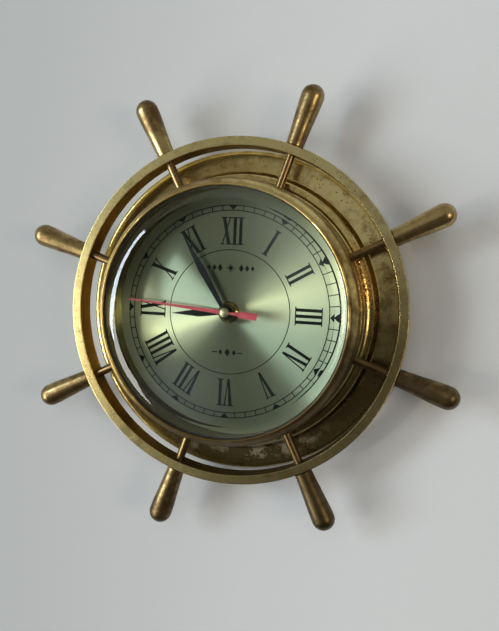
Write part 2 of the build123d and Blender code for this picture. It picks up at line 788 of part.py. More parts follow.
def make_coil():
    """Bobbin with its winding and the bar that carries the field to the stator."""
    cheek = 1.0
    tube = 1.7
    plane = Plane(origin=(0, -COIL_DEPTH, COIL_HEIGHT), x_dir=(0, 1, 0), z_dir=(1, 0, 0))
    with BuildPart() as coil_bobbin:
        with BuildSketch(plane.offset(COIL_START)):
            Circle(tube)
        extrude(amount=COIL_END - COIL_START)
        for start in (COIL_START, COIL_END - cheek):
            with BuildSketch(plane.offset(start)):
                Circle(3.6)
            extrude(amount=cheek)
        with BuildSketch(plane.offset(COIL_START - 1)):
            Rectangle(0.9, 2.1)
        extrude(amount=COIL_END - COIL_START + 2, mode=Mode.SUBTRACT)
    finish(coil_bobbin, "coil_bobbin")
    with BuildPart() as coil_winding:
        with BuildSketch(plane.offset(COIL_START + cheek)):
            Circle(3.3)
            Circle(tube, mode=Mode.SUBTRACT)
        extrude(amount=COIL_END - COIL_START - 2 * cheek)
    finish(coil_winding, "coil_winding")
    leg = 4.5
    with BuildPart() as coil_core:
        with BuildSketch(facing(STATOR_DEPTH + STATOR_THICKNESS)):
            with Locations(((COIL_START + COIL_END) / 2, COIL_HEIGHT)):
                Rectangle(COIL_END - COIL_START + 2 * leg, 2)
        extrude(amount=0.8)
    finish(coil_core, "coil_core")


def make_stator():
    """Lamination with the rotor's hole, one leg up to each end of the coil's core."""
    rotor_x, rotor_z = ROTOR_CENTRE
    left = COIL_START - 2.7
    right = COIL_END + 2.7
    with BuildPart() as stator:
        with BuildSketch(facing(STATOR_DEPTH)):
            with Locations(ROTOR_CENTRE):
                Circle(5.0)
            with Locations((left, (rotor_z + COIL_HEIGHT + 1) / 2)):
                Rectangle(3.4, COIL_HEIGHT + 1 - rotor_z)
            with Locations(((rotor_x + right) / 2, rotor_z - 0.6)):
                Rectangle(right - rotor_x, 3.6)
            with Locations((right, (rotor_z + COIL_HEIGHT - 1.4) / 2)):
                Rectangle(3.4, COIL_HEIGHT + 3.4 - rotor_z)
            with Locations(ROTOR_CENTRE):
                Circle(3.1, mode=Mode.SUBTRACT)
        extrude(amount=STATOR_THICKNESS)
    finish(stator, "stator")


def make_train():
    """The geared arbors, each in mesh with the next: rotor, intermediate, seconds, third, centre."""
    rotor_module = module_of(ROTOR_DISTANCE, INTERMEDIATE_TEETH, PINION_TEETH)
    seconds_module = module_of(INTERMEDIATE_DISTANCE, SECONDS_TEETH, PINION_TEETH)
    third_module = module_of(THIRD_DISTANCE, THIRD_TEETH, PINION_TEETH)
    centre_module = module_of(THIRD_DISTANCE, CENTRE_TEETH, PINION_TEETH)
    pinion_length = WHEEL_THICKNESS + 2 * PINION_OVERHANG

    with BuildPart() as rotor:
        add_pin(PIVOT_BACK, PIVOT_FRONT, PIVOT_RADIUS, ROTOR_CENTRE)
        add_gear(
            INTERMEDIATE_WHEEL_DEPTH - PINION_OVERHANG,
            pinion_length,
            ROTOR_CENTRE,
            PINION_TEETH,
            rotor_module,
            0,
            pinion=True,
        )
        add_pin(STATOR_DEPTH - 0.8, STATOR_DEPTH + 1.6, 2.7, ROTOR_CENTRE)
    finish(rotor, "rotor")

    with BuildPart() as intermediate_wheel:
        add_pin(PIVOT_BACK, PIVOT_FRONT, PIVOT_RADIUS, INTERMEDIATE_CENTRE)
        add_gear(
            SECONDS_WHEEL_DEPTH - PINION_OVERHANG,
            INTERMEDIATE_WHEEL_DEPTH - SECONDS_WHEEL_DEPTH + PINION_OVERHANG,
            INTERMEDIATE_CENTRE,
            PINION_TEETH,
            seconds_module,
            0,
            pinion=True,
        )
        add_gear(
            INTERMEDIATE_WHEEL_DEPTH,
            WHEEL_THICKNESS,
            INTERMEDIATE_CENTRE,
            INTERMEDIATE_TEETH,
            rotor_module,
            meshed_phase(0, PINION_TEETH, ROTOR_BEARING + 180, INTERMEDIATE_TEETH),
        )
    finish(intermediate_wheel, "intermediate_wheel")

    with BuildPart() as seconds_arbor:
        add_pin(PIVOT_BACK, SECONDS_WHEEL_DEPTH, PIVOT_RADIUS)
        add_pin(SECONDS_WHEEL_DEPTH, SECONDS_HAND_DEPTH + HAND_THICKNESS + 0.5, SECONDS_SHAFT_RADIUS)
        add_gear(
            SECONDS_WHEEL_DEPTH,
            WHEEL_THICKNESS,
            (0.0, 0.0),
            SECONDS_TEETH,
            seconds_module,
            meshed_phase(0, PINION_TEETH, INTERMEDIATE_BEARING + 180, SECONDS_TEETH),
        )
        add_gear(
            THIRD_WHEEL_DEPTH - PINION_OVERHANG,
            pinion_length,
            (0.0, 0.0),
            PINION_TEETH,
            third_module,
            0,
            pinion=True,
        )
    finish(seconds_arbor, "seconds_arbor")

    with BuildPart() as third_wheel:
        add_pin(PIVOT_BACK, PIVOT_FRONT, PIVOT_RADIUS, THIRD_CENTRE)
        add_gear(
            THIRD_WHEEL_DEPTH,
            WHEEL_THICKNESS,
            THIRD_CENTRE,
            THIRD_TEETH,
            third_module,
            meshed_phase(0, PINION_TEETH, THIRD_BEARING, THIRD_TEETH),
        )
        add_gear(
            CENTRE_WHEEL_DEPTH - PINION_OVERHANG,
            pinion_length,
            THIRD_CENTRE,
            PINION_TEETH,
            centre_module,
            0,
            pinion=True,
        )
    finish(third_wheel, "third_wheel")

    with BuildPart() as centre_wheel:
        add_gear(
            CENTRE_WHEEL_DEPTH,
            WHEEL_THICKNESS,
            (0.0, 0.0),
            CENTRE_TEETH,
            centre_module,
            meshed_phase(0, PINION_TEETH, THIRD_BEARING + 180, CENTRE_TEETH),
        )
        add_pin(CENTRE_WHEEL_DEPTH - 1, CENTRE_WHEEL_DEPTH + 2, MINUTE_PIPE_RADIUS + SEAT, mode=Mode.SUBTRACT)
    finish(centre_wheel, "centre_wheel")


def make_motion_work():
    """Cannon pinion, minute wheel, hour wheel and setting knob: twelve to one, and one to one."""
    cannon_module = module_of(MOTION_DISTANCE, CANNON_TEETH, MINUTE_WHEEL_TEETH)
    hour_module = module_of(MOTION_DISTANCE, PINION_TEETH, HOUR_WHEEL_TEETH)
    wheel_phase = meshed_phase(0, CANNON_TEETH, MOTION_BEARING, MINUTE_WHEEL_TEETH)
    pinion_length = 1.2

    with BuildPart() as minute_pipe:
        add_pin(CENTRE_WHEEL_DEPTH - 0.5, MINUTE_HAND_DEPTH + 0.9, MINUTE_PIPE_RADIUS)
        add_gear(
            MINUTE_WHEEL_DEPTH - 0.2, pinion_length, (0.0, 0.0), CANNON_TEETH, cannon_module, 0, pinion=True
        )
        add_pin(
            CENTRE_WHEEL_DEPTH - 2, MINUTE_HAND_DEPTH + 2, SECONDS_SHAFT_RADIUS + RUNNING, mode=Mode.SUBTRACT
        )
    finish(minute_pipe, "minute_pipe")

    with BuildPart() as minute_wheel:
        add_pin(PIVOT_BACK, PIVOT_FRONT, PIVOT_RADIUS, MINUTE_WHEEL_CENTRE)
        add_gear(
            MINUTE_WHEEL_DEPTH,
            WHEEL_THICKNESS,
            MINUTE_WHEEL_CENTRE,
            MINUTE_WHEEL_TEETH,
            cannon_module,
            wheel_phase,
        )
        add_gear(
            MINUTE_WHEEL_DEPTH + WHEEL_THICKNESS,
            HOUR_WHEEL_DEPTH - MINUTE_WHEEL_DEPTH + 0.4,
            MINUTE_WHEEL_CENTRE,
            PINION_TEETH,
            hour_module,
            0,
            pinion=True,
        )
    finish(minute_wheel, "minute_wheel")

    with BuildPart() as hour_wheel:
        add_gear(
            HOUR_WHEEL_DEPTH,
            WHEEL_THICKNESS,
            (0.0, 0.0),
            HOUR_WHEEL_TEETH,
            hour_module,
            meshed_phase(0, PINION_TEETH, MOTION_BEARING + 180, HOUR_WHEEL_TEETH),
        )
        add_pin(HOUR_WHEEL_DEPTH, HOUR_HAND_DEPTH + 0.9, HOUR_PIPE_RADIUS)
        add_pin(
            HOUR_WHEEL_DEPTH - 1, HOUR_HAND_DEPTH + 2, MINUTE_PIPE_RADIUS + RUNNING, mode=Mode.SUBTRACT
        )
    finish(hour_wheel, "hour_wheel")

    shaft_radius = 1.5
    knob_radius = 5.0
    knob_back = CASE_BACK - 4.8
    knob_front = CASE_BACK - 0.4
    flutes = 18
    with BuildPart() as setting_knob:
        add_pin(knob_back, knob_front, knob_radius, KNOB_CENTRE)
        with BuildSketch(facing(knob_back, *KNOB_CENTRE)):
            with PolarLocations(knob_radius, flutes):
                Circle(0.45)
        extrude(amount=knob_front - knob_back, mode=Mode.SUBTRACT)
        add_pin(knob_front, MINUTE_WHEEL_DEPTH, shaft_radius, KNOB_CENTRE)
        add_pin(MINUTE_WHEEL_DEPTH, PIVOT_FRONT, PIVOT_RADIUS, KNOB_CENTRE)
        add_gear(
            MINUTE_WHEEL_DEPTH - 0.2,
            pinion_length,
            KNOB_CENTRE,
            KNOB_TEETH,
            cannon_module,
            meshed_phase(wheel_phase, MINUTE_WHEEL_TEETH, KNOB_BEARING, KNOB_TEETH),
            pinion=True,
        )
    finish(setting_knob, "setting_knob")


# --- the whole clock ----------------------------------------------------------------
os.makedirs("parts", exist_ok=True)
make_case_body()
make_bezel()
make_glass()
make_glass_gasket()
make_inner_ring()
make_dial_plate()
make_hanger_plate()
make_wheel_rim()
for number in range(SPOKE_COUNT):
    make_spoke(number)
    make_handle(number)
make_spoke_nuts()
make_leaf_hand(
    "hour_hand", HOUR_HAND_DEPTH, HOUR_ANGLE, HOUR_LENGTH, HOUR_PIPE_RADIUS, 3.9, 2.2, 0.5, 4.4
)
make_leaf_hand(
    "minute_hand", MINUTE_HAND_DEPTH, MINUTE_ANGLE, MINUTE_LENGTH, MINUTE_PIPE_RADIUS, 3.4, 2.0, 0.54, 4.1
)
make_seconds_hand()
make_seconds_cap()
make_dial_fixings()
make_movement_case()
make_threaded_bush()
make_movement_cover()
make_battery()
make_contacts()
make_electronics()
make_coil()
make_stator()
make_train()
make_motion_work()
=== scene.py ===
import json
import math

import bpy
from mathutils import Matrix, Vector


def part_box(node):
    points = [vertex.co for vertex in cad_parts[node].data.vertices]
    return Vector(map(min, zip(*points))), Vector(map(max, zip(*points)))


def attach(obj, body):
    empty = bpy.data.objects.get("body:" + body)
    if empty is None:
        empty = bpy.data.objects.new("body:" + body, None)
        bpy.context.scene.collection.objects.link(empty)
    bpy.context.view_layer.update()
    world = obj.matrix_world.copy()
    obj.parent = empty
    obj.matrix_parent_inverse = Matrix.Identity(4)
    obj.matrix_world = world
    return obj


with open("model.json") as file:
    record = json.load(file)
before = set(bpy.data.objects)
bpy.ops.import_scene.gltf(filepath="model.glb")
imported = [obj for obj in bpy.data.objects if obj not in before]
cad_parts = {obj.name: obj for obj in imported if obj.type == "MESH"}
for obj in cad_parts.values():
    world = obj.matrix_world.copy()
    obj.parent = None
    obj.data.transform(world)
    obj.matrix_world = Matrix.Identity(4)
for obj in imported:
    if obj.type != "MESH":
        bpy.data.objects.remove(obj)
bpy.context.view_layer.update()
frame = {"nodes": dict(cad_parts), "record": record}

MM = 0.001
FACE = -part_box("dial_plate")[0].y  # distance of the dial's printed face from the wall
INK = 0.03 * MM  # thickness of the print on the dial

# The clock hangs on the plane Y = 0 and faces -Y, so a depth in front of the wall is a negative Y.
# Clock angles are in degrees, clockwise from 12 o'clock as seen from the front.
HOUR, MINUTE = 30, 6  # angles from one mark to the next


# --- node trees ---------------------------------------------------------------------
def rgb(red, green, blue):
    return (red, green, blue, 1.0)


class Nodes:
    """A node tree, with short calls for the nodes that the materials and the surroundings use."""

    def __init__(self, tree):
        self.tree = tree

    def add(self, kind, inputs=None, **settings):
        made = self.tree.nodes.new(kind)
        for key, value in settings.items():
            setattr(made, key, value)
        for key, value in (inputs or {}).items():
            self.feed(made.inputs[key], value)
        return made

    def link(self, source, target):
        self.tree.links.new(source, target)

    def feed(self, socket, value):
        if isinstance(value, bpy.types.NodeSocket):
            self.link(value, socket)
        else:
            socket.default_value = value

    def math(self, operation, first, second=0.0, clamp=False):
        inputs = {0: first, 1: second}
        return self.add("ShaderNodeMath", inputs, operation=operation, use_clamp=clamp).outputs[0]

    def plus(self, first, second, clamp=False):
        return self.math("ADD", first, second, clamp)

    def times(self, first, second):
        return self.math("MULTIPLY", first, second)

    def over(self, first, second):
        return self.math("DIVIDE", first, second)

    def weigh(self, *terms):
        """Sum of values, each times its weight."""
        total, *rest = [self.times(value, weight) for value, weight in terms]
        for term in rest:
            total = self.plus(total, term)
        return total

    def ramp(self, value, low, high, out_low=0.0, out_high=1.0):
        """Smooth step of value between low and high, clamped."""
        inputs = {"Value": value, "From Min": low, "From Max": high, "To Min": out_low, "To Max": out_high}
        return self.add("ShaderNodeMapRange", inputs, interpolation_type="SMOOTHSTEP").outputs[0]

    def fall(self, value, low, high):
        """Smooth step down: 1 below low, 0 above high."""
        return self.ramp(value, low, high, 1.0, 0.0)

    def blend(self, factor, first, second):
        """Mix of two colours."""
        inputs = {"Factor": factor, 6: first, 7: second}
        return self.add("ShaderNodeMix", inputs, data_type="RGBA").outputs[2]

    def mix(self, factor, first, second):
        """Mix of two numbers."""
        inputs = {"Factor": factor, 2: first, 3: second}
        return self.add("ShaderNodeMix", inputs, data_type="FLOAT").outputs[0]

    def split(self, vector):
        return self.add("ShaderNodeSeparateXYZ", {0: vector}).outputs


class Shader(Nodes):
    """A node material with one Principled shader, patterned by the place on the object."""

    def __init__(self, name, **constants):
        self.material = bpy.data.materials.new(name)
        self.material.use_nodes = True
        super().__init__(self.material.node_tree)
        self.tree.nodes.clear()
        self.output = self.add("ShaderNodeOutputMaterial")
        self.surface = self.add("ShaderNodeBsdfPrincipled")
        self.link(self.surface.outputs[0], self.output.inputs["Surface"])
        for key, value in constants.items():
            self.surface.inputs[key.replace("_", " ")].default_value = value
        self.place = self.add("ShaderNodeTexCoord").outputs["Object"]

    def set(self, name, value):
        self.feed(self.surface.inputs[name], value)

    def noise(self, scale, detail=3.0, roughness=0.5, place=None):
        """Cloudy noise from 0 to 1, with scale cells to the metre."""
        inputs = {"Vector": place or self.place, "Scale": scale, "Detail": detail, "Roughness": roughness}
        return self.add("ShaderNodeTexNoise", inputs).outputs["Fac"]

    def polar(self):
        """Distance from the clock's axis, and the place's y, x and z, all in metres."""
        parts = self.split(self.place)
        square = self.plus(self.times(parts["X"], parts["X"]), self.times(parts["Z"], parts["Z"]))
        return self.math("SQRT", square), parts["Y"], parts["X"], parts["Z"]

    def turned(self, scale):
        """Fine noise that changes with radius and depth and hardly along the turning direction."""
        along = 0.02
        radius, y, x, _ = self.polar()
        place = self.add("ShaderNodeCombineXYZ", {0: radius, 1: y, 2: self.times(x, along)})
        return self.noise(scale, 4.0, 0.7, place.outputs[0])

    def specks(self, scale, size):
        """Small scattered spots: 1 inside a spot. The size is a share of a cell."""
        cells = self.add("ShaderNodeTexVoronoi", {"Vector": self.place, "Scale": scale})
        near = self.fall(cells.outputs["Distance"], size * 0.6, size)
        few = self.ramp(self.noise(scale * 0.25, 2.0), 0.5, 0.62)
        return self.times(near, few)

    def bump(self, height, distance, strength):
        inputs = {"Height": height, "Distance": distance, "Strength": strength}
        self.set("Normal", self.add("ShaderNodeBump", inputs).outputs[0])

    def clear_where(self, factor, tint=(1.0, 1.0, 1.0)):
        """Lets light straight through, tinted, where factor is 1."""
        clear = self.add("ShaderNodeBsdfTransparent", {0: rgb(*tint)})
        inputs = {0: factor, 1: self.surface.outputs[0], 2: clear.outputs[0]}
        either = self.add("ShaderNodeMixShader", inputs)
        self.link(either.outputs[0], self.output.inputs["Surface"])


# --- brass --------------------------------------------------------------------------
CLOUDS, MOTTLE, GRAIN = 24.0, 110.0, 420.0  # noise scales, in cells to the metre

TARNISH = (0.055, 0.038, 0.02)
BEZEL_TARNISH = (0.04, 0.028, 0.016)
BROWN_FILM = (0.13, 0.075, 0.02)
PIT = (0.05, 0.032, 0.014)
# painted glint colour for the belt on the drum's neck
NECK_GLINT = (0.78, 0.46, 0.12)
CRUST = (0.20, 0.20, 0.17)

# edges on the case, each from one side of a soft step to the other
BEZEL_EDGE = (-40.0 * MM, -38.0 * MM)  # Y where the bezel starts
BELT_FRONT, BELT_BACK = (-20.0 * MM, -18.0 * MM), (-13.5 * MM, -12.8 * MM)  # Y of the neck's belt of crinkle and painted glints
BELT_START, BELT_END = (0.02, 0.2), (0.42, 0.62)  # sines of the angles above the horizontal it spans
WET_LEVEL = (66.0 * MM, 84.0 * MM)  # below the axis
FLANGE_EDGE = (87.0 * MM, 91.0 * MM)  # radius


class Brass(Shader):
    """Aged brass. It starts as bright metal browned in patches, and each method adds a layer.

    A layer may use what an earlier one worked out, so they are laid on in the order of brass() below.
    """

    def __init__(self, name, bright, brown, bare, polish, dull):
        """Where the patches' noise is below bare the metal is bright, with roughness polish.

        Above it, the metal turns brown, with roughness dull.
        """
        super().__init__(name, Metallic=1.0)
        self.brown = brown
        self.radius, self.y, self.x, self.z = self.polar()
        self.reach = self.plus(self.radius, MM)  # divides without trouble on the axis
        self.cloud = self.noise(CLOUDS, 4.0, 0.6)
        self.mottle = self.noise(MOTTLE, 5.0, 0.65)
        self.grain = self.noise(GRAIN, 4.0, 0.6)
        patches = self.weigh((self.cloud, 0.5), (self.mottle, 0.35), (self.grain, 0.15))
        self.browned = self.ramp(patches, bare - 0.06, bare + 0.14)
        self.colour = self.blend(self.browned, rgb(*bright), rgb(*brown))
        self.rough = self.mix(self.browned, polish, dull)

    def cover(self, amount, colour):
        self.colour = self.blend(amount, self.colour, rgb(*colour))

    def roughen(self, amount, weight, clamp=False):
        self.rough = self.plus(self.rough, self.times(amount, weight), clamp)

    def inside(self, limit, tint, polish):
        """Another tint and roughness for what lies inside a radius."""
        within = self.fall(self.radius, limit - 0.1 * MM, limit)
        tinted = self.blend(self.times(self.browned, 0.6), rgb(*tint), rgb(*self.brown))
        self.colour = self.blend(within, self.colour, tinted)
        self.rough = self.mix(within, self.rough, polish)

    def tarnish(self, strength, left):
        """Darkens what lies low and to the right, in uneven patches; left adds the left side."""
        lopsided = self.math("MINIMUM", self.x, 0.0)
        low = self.over(self.weigh((self.x, 0.55), (self.z, -0.83), (lopsided, -left)), self.reach)
        uneven = self.math("SUBTRACT", self.plus(self.cloud, self.mottle), 1.0)
        self.low = self.ramp(self.plus(low, self.times(uneven, 0.8)), 0.28, 0.85)
        self.cover(self.times(self.low, strength), TARNISH)
        film = self.ramp(self.noise(60.0, 5.0, 0.7), 0.52, 0.66)
        self.cover(self.times(film, 0.35), BROWN_FILM)
        self.roughen(self.low, 0.08)

    def pit(self):
        """Dark pits and fine turning marks."""
        pits = self.specks(520.0, 0.25)
        self.cover(self.times(pits, 0.8), PIT)
        marks = self.turned(2600.0)
        self.roughen(self.math("SUBTRACT", marks, 0.5), 0.12)
        self.roughen(pits, 0.25, clamp=True)
        self.height = self.weigh((marks, 0.2), (self.grain, 0.6), (self.mottle, 1.2), (pits, -1.0))

    def age_and_shade_bezel(self):
        """A duller bezel, more tarnished low, and browner everywhere but at the top right: painted shade,
        which leaves the top right bright where the highlight falls.
        """
        front = self.fall(self.y, *BEZEL_EDGE)
        side = self.over(self.weigh((self.x, 0.9), (self.z, 0.42)), self.reach)
        # Painted shade: the bezel's front is browned away from the top right, and not at the top right,
        # where the highlight falls.
        self.cover(self.times(front, self.ramp(side, -0.2, 0.9, 0.6, 0.0)), self.brown)
        self.cover(self.times(front, self.times(self.low, 0.6)), BEZEL_TARNISH)
        self.roughen(front, 0.13)

    def crinkle_and_glint_neck(self):
        """Crinkled metal in a belt on the drum's neck, a little above its middle on both sides. Its
        brighter, oranger colour is a painted glint of warm light; its crinkle is real relief.
        """
        belt = self.times(self.ramp(self.y, *BELT_FRONT), self.fall(self.y, *BELT_BACK))
        up = self.over(self.z, self.reach)
        belt = self.times(self.times(belt, self.ramp(up, *BELT_START)), self.fall(up, *BELT_END))
        # Painted glint: a brighter, oranger colour in the belt, where the warm light's glints fall.
        self.cover(self.times(belt, 0.8), NECK_GLINT)
        crinkle = self.times(self.noise(560.0, 2.0), belt)
        self.height = self.plus(self.height, self.times(crinkle, 22.0))

    def crust(self):
        """Pale, matt crust where damp gathers low on the case, thinner on the flange's edge."""
        wet = self.ramp(self.weigh((self.x, 0.1), (self.z, -1.0)), *WET_LEVEL)
        crust = self.times(wet, self.ramp(self.noise(MOTTLE, 6.0, 0.75), 0.44, 0.64))
        crust = self.times(crust, self.ramp(self.radius, *FLANGE_EDGE, 0.9, 0.15))
        self.cover(crust, CRUST)
        self.rough = self.mix(crust, self.rough, 0.75)
        self.set("Metallic", self.mix(crust, 1.0, 0.15))

    def finish(self):
        self.set("Base Color", self.colour)
        self.set("Roughness", self.rough)
        self.bump(self.height, 0.05 * MM, 0.4)
        return self.material


def brass(name, tarnish=0.6, inner=None, case=False, **metal):
    """Brass of one part of the clock; inner is a radius, a tint and a roughness for what is inside it."""
    made = Brass(name, **metal)
    if inner:
        made.inside(*inner)
    made.tarnish(tarnish, left=0.5 if case else 0.0)
    made.pit()
    if case:
        made.age_and_shade_bezel()
        made.crinkle_and_glint_neck()
        made.crust()
    return made.finish()


# --- the other materials ------------------------------------------------------------
def dial_metal():
    """Champagne anodised aluminium, spun: its grooves run round the centre, so highlights are radial."""
    made = Shader("dial_champagne", Metallic=1.0, Anisotropic=1.0, Anisotropic_Rotation=0.25)
    tangent = made.add("ShaderNodeTangent", direction_type="RADIAL", axis="Y")
    made.set("Tangent", tangent.outputs[0])
    grooves = made.turned(9000.0)
    colour = made.blend(made.noise(22.0, 3.0), rgb(0.42, 0.46, 0.335), rgb(0.46, 0.495, 0.365))
    stains = made.times(made.specks(120.0, 0.12), 0.25)
    made.set("Base Color", made.blend(stains, colour, rgb(0.2, 0.2, 0.12)))
    made.set("Roughness", made.plus(made.times(grooves, 0.08), 0.25))
    made.bump(grooves, 0.01 * MM, 0.35)
    return made.material


def clear_glass():
    """Slightly green glass, faintly smeared, that lets the lamps through to the dial."""
    green = (0.93, 0.97, 0.94)
    made = Shader(
        "window_glass", Transmission_Weight=1.0, IOR=1.5, Base_Color=rgb(*green), Specular_IOR_Level=0.36
    )
    smears = made.noise(60.0, 4.0, 0.6)
    made.set("Roughness", made.ramp(smears, 0.5, 0.8, 0.0, 0.01))
    made.clear_where(made.add("ShaderNodeLightPath").outputs["Is Shadow Ray"], green)
    return made.material


def painted(name, colour, worn, roughness, shine=0.5, coat=0.0):
    """Paint, print or moulded plastic with a faint grain and slightly uneven gloss."""
    made = Shader(name, Specular_IOR_Level=shine, Coat_Weight=coat, Coat_Roughness=0.12)
    grain = made.noise(900.0, 4.0, 0.6)
    cloud = made.noise(90.0, 3.0)
    made.set("Base Color", made.blend(made.ramp(cloud, 0.35, 0.75), rgb(*colour), rgb(*worn)))
    made.set("Roughness", made.plus(made.times(grain, 0.2), roughness - 0.1))
    made.bump(grain, 0.02 * MM, 0.3)
    return made.material


def bright_metal(name, colour, dull, roughness):
    """Plated or turned metal with fine marks and a dull film in patches."""
    made = Shader(name, Metallic=1.0)
    marks = made.noise(1400.0, 4.0, 0.65)
    film = made.ramp(made.noise(70.0, 4.0, 0.6), 0.4, 0.7)
    made.set("Base Color", made.blend(film, rgb(*colour), rgb(*dull)))
    rough = made.mix(film, roughness, roughness + 0.18)
    made.set("Roughness", made.plus(rough, made.times(marks, 0.1)))
    made.bump(marks, 0.02 * MM, 0.25)
    return made.material


def windings():
    """Copper wire laid side by side along the coil."""
    made = Shader("copper_wire", Metallic=1.0)
    inputs = {"Vector": made.place, "Scale": 1800.0, "Distortion": 0.4}
    wave = made.add("ShaderNodeTexWave", inputs, bands_direction="X").outputs["Fac"]
    made.set("Base Color", made.blend(wave, rgb(0.32, 0.11, 0.05), rgb(0.75, 0.30, 0.13)))
    made.set("Roughness", made.mix(wave, 0.5, 0.3))
    made.bump(wave, 0.05 * MM, 0.6)
    return made.material


def battery_sleeve():
    """Plain printed sleeve: a dark body, a copper-coloured band at the small terminal, bare steel ends."""
    low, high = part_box("battery")
    made = Shader("battery_sleeve", Metallic=0.7)
    along = made.split(made.place)["X"]
    band = made.ramp(along, high.x - 14.0 * MM, high.x - 13.6 * MM)
    colour = made.blend(band, rgb(0.03, 0.035, 0.045), rgb(0.62, 0.33, 0.12))
    right = made.ramp(along, high.x - 1.6 * MM, high.x - 1.5 * MM)
    left = made.fall(along, low.x + 0.4 * MM, low.x + 0.5 * MM)
    scratches = made.noise(500.0, 5.0, 0.7)
    made.set("Base Color", made.blend(made.math("MAXIMUM", left, right), colour, rgb(0.6, 0.6, 0.58)))
    made.set("Roughness", made.plus(made.times(scratches, 0.2), 0.2))
    made.bump(scratches, 0.02 * MM, 0.2)
    return made.material


# what lies inside a radius, its tint and roughness: the sleeve between dial and glass, and the spokes
SLEEVE = (69.1 * MM, (0.30, 0.27, 0.14), 0.12)
SPOKES = (94.75 * MM, (0.24, 0.16, 0.07), 0.3)

BRASSES = {
    "brass_case": dict(
        bright=(0.68, 0.55, 0.23), brown=(0.27, 0.16, 0.045),
        bare=0.50, polish=0.15, dull=0.32, tarnish=0.75, inner=SLEEVE, case=True,
    ),
    "brass_wheel": dict(
        bright=(0.62, 0.53, 0.25), brown=(0.37, 0.27, 0.11),
        bare=0.54, polish=0.24, dull=0.34, inner=SPOKES,
    ),
    "brass_handle": dict(
        bright=(0.46, 0.35, 0.16), brown=(0.13, 0.08, 0.035),
        bare=0.47, polish=0.25, dull=0.42, tarnish=0.85,
    ),
    "brass_fixings": dict(
        bright=(0.60, 0.49, 0.24), brown=(0.28, 0.20, 0.08), bare=0.54, polish=0.10, dull=0.2,
    ),
}
SATIN_CAP = dict(bright=(0.34, 0.30, 0.20), brown=(0.22, 0.19, 0.11), bare=0.5, polish=0.5, dull=0.56)

# colour, colour where worn, roughness, and for some the specular level and the coat
PAINTS = {
    "black_rubber": ((0.012, 0.012, 0.012), (0.03, 0.03, 0.03), 0.75),
    "black_hands": ((0.002, 0.003, 0.004), (0.005, 0.006, 0.008), 0.35, 0.2),
    "red_hand": ((0.30, 0.03, 0.05), (0.36, 0.055, 0.075), 0.34, 0.4, 0.3),
    "black_moulding": ((0.018, 0.018, 0.02), (0.03, 0.03, 0.032), 0.5),
    "white_moulding": ((0.78, 0.76, 0.68), (0.70, 0.68, 0.60), 0.35),
    "green_board": ((0.02, 0.12, 0.05), (0.03, 0.16, 0.07), 0.3, 0.5, 0.5),
    "black_resin": ((0.01, 0.01, 0.01), (0.02, 0.02, 0.02), 0.3),
}
DIAL_INK = ((0.003, 0.004, 0.004), (0.006, 0.007, 0.007), 0.6, 0.08)

# colour, colour under the dull film, roughness
METALS = {
    "zinc_steel": ((0.62, 0.63, 0.62), (0.42, 0.42, 0.40), 0.3),
    "steel_arbors": ((0.60, 0.59, 0.57), (0.45, 0.44, 0.42), 0.2),
    "nickel_contacts": ((0.72, 0.69, 0.62), (0.5, 0.47, 0.4), 0.18),
    "silicon_steel": ((0.42, 0.42, 0.43), (0.3, 0.3, 0.31), 0.35),
}


def make_materials():
    """One material for each material slot of the record."""
    made = {
        "gold_dial": dial_metal(),
        "clear_glass": clear_glass(),
        "battery_sleeve": battery_sleeve(),
        "copper_wire": windings(),
    }
    made.update({slot: brass(slot, **looks) for slot, looks in BRASSES.items()})
    made.update({slot: painted(slot, *looks) for slot, looks in PAINTS.items()})
    made.update({slot: bright_metal(slot, *looks) for slot, looks in METALS.items()})
    return made


def dress_frame():
    """Gives each CAD node its finish; the hands' cap is satin, unlike the other fixings."""
    materials = make_materials()
    satin_cap = brass("satin_cap", **SATIN_CAP)
    for part in frame["record"]["subparts"]:
        shown, slot = frame["nodes"][part["node"]], part["material_slot"]
        shown.data.materials.clear()
        shown.data.materials.append(satin_cap if part["node"] == "seconds_cap" else materials[slot])


# --- the dial's print, in mm --------------------------------------------------------
NUMERALS = ("XII", "I", "II", "III", "IV", "V", "VI", "VII", "VIII", "IX", "X", "XI")
NUMERAL_FOOT = 38.1  # radius of the numerals' inner ends
LETTER_HEIGHT = 15.5
LETTER_WIDTH = {"I": 3.4, "V": 6.3, "X": 6.5}
SERIF = 0.65  # its thickness

TRACK_INNER, TRACK_OUTER = 57.2, 60.6  # radii of the minute track
TRACK_LINE = 0.52
TRIANGLE_HALF_WIDTH = 2.45
CIRCLE_INNER, CIRCLE_OUTER = 35.0, 35.5  # radii of the circle inside the numerals
RING_STEPS = 240  # flats round a printed circle

STAR_UP = 25.0  # of the star's centre, above the dial's
STAR_POINTS = 8
STAR_LONG, STAR_SHORT, STAR_WAIST = 3.6, 2.3, 0.95  # radii of its points and of the corners between
STAR_ROW = ((6.2, 1.0), (9.6, 0.85), (12.8, 0.7))  # lozenges beside it: distance and share of full size
STAR_LOZENGE = (1.5, 2.2)  # half width and half height at full size
ROW_DOWN = 23.0  # of the lower row, below the dial's centre
ROW_MIDDLE, ROW_SIDE = (1.6, 2.4), (1.2, 1.7)  # half width and half height of its lozenges
ROW_SIDE_AT = 4.0  # of the side ones, from the middle one
RULE_START, RULE_END, RULE_HALF_HEIGHT = 5.8, 9.0, 0.3  # the line beyond each of them


